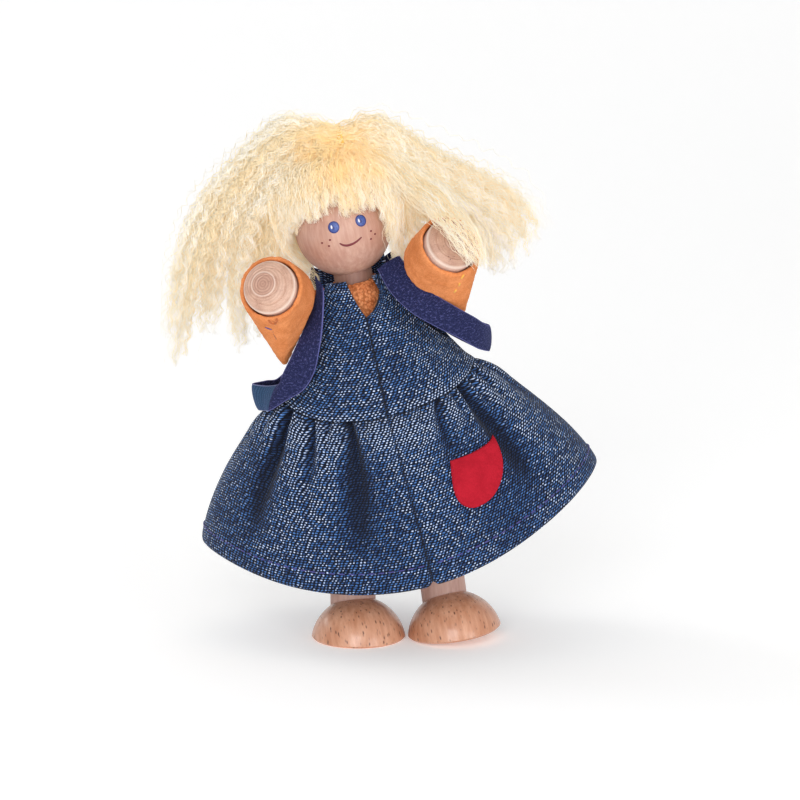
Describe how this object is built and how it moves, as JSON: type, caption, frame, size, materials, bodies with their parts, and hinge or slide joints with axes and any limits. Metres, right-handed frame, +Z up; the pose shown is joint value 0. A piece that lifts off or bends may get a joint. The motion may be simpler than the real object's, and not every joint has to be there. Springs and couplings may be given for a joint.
{
  "type": "bendable wooden dollhouse doll",
  "caption": "Small wooden girl doll with a ball head, wire-jointed arms and legs, woolly side bunches and a denim pinafore over an orange felt blouse.",
  "frame": {"origin": "on the flat sole of the right foot, straight below the right leg's centre line", "axes": "+Z up, the doll faces -Y, its left hand is at +X"},
  "size_m": [0.0901, 0.0514, 0.1105],
  "materials": {
    "beech": "satin",
    "wire": "satin",
    "orange_felt": "matte",
    "denim": "matte",
    "ribbon": "matte",
    "red_felt": "matte",
    "hair": "matte",
    "thread": "matte"
  },
  "bodies": {
    "torso": {"torso": "beech", "blouse": "orange_felt", "bodice_front_right": "denim", "bodice_front_left": "denim", "bodice_back": "denim", "skirt_front_right": "denim", "skirt_front_left": "denim", "skirt_back": "denim", "right_strap": "ribbon", "left_strap": "ribbon", "pocket": "red_felt"},
    "head": {"head": "beech", "hair_fringe": "hair", "hair_back": "hair", "hair_right": "hair", "hair_left": "hair", "hair_tie": "thread"},
    "right_arm": {"right_hand": "beech", "right_sleeve": "orange_felt", "right_arm_wire": "wire"},
    "left_arm": {"left_hand": "beech", "left_sleeve": "orange_felt", "left_arm_wire": "wire"},
    "right_leg": {"right_leg": "beech", "right_foot": "beech", "right_leg_wire": "wire"},
    "left_leg": {"left_leg": "beech", "left_foot": "beech", "left_leg_wire": "wire"}
  },
  "joints": [
    {"name": "head_turn", "type": "hinge", "parent": "torso", "child": "head", "pos_m": [-0.00186, 0, 0.08644], "axis": [-0.1994, 0, 0.9799], "range_deg": [-45, 45], "deforming": ["hair_right", "hair_left"]},
    {"name": "right_arm_swing", "type": "hinge", "parent": "torso", "child": "right_arm", "pos_m": [-0.01117, 0, 0.06954], "axis": [0.8486, 0.5, 0.1727], "range_deg": [-35, 50], "deforming": ["right_arm_wire", "right_strap"]},
    {"name": "left_arm_swing", "type": "hinge", "parent": "torso", "child": "left_arm", "pos_m": [0.01332, 0, 0.07452], "axis": [0.8486, -0.5, 0.1727], "range_deg": [-35, 50], "deforming": ["left_arm_wire", "left_strap"]},
    {"name": "right_leg_swing", "type": "hinge", "parent": "torso", "child": "right_leg", "pos_m": [0, 0, 0.0412], "axis": [1, 0, 0], "range_deg": [-20, 20], "deforming": ["right_leg_wire"]},
    {"name": "left_leg_swing", "type": "hinge", "parent": "torso", "child": "left_leg", "pos_m": [0.01411, 0, 0.04407], "axis": [1, 0, 0], "range_deg": [-20, 20], "deforming": ["left_leg_wire"]}
  ]
}
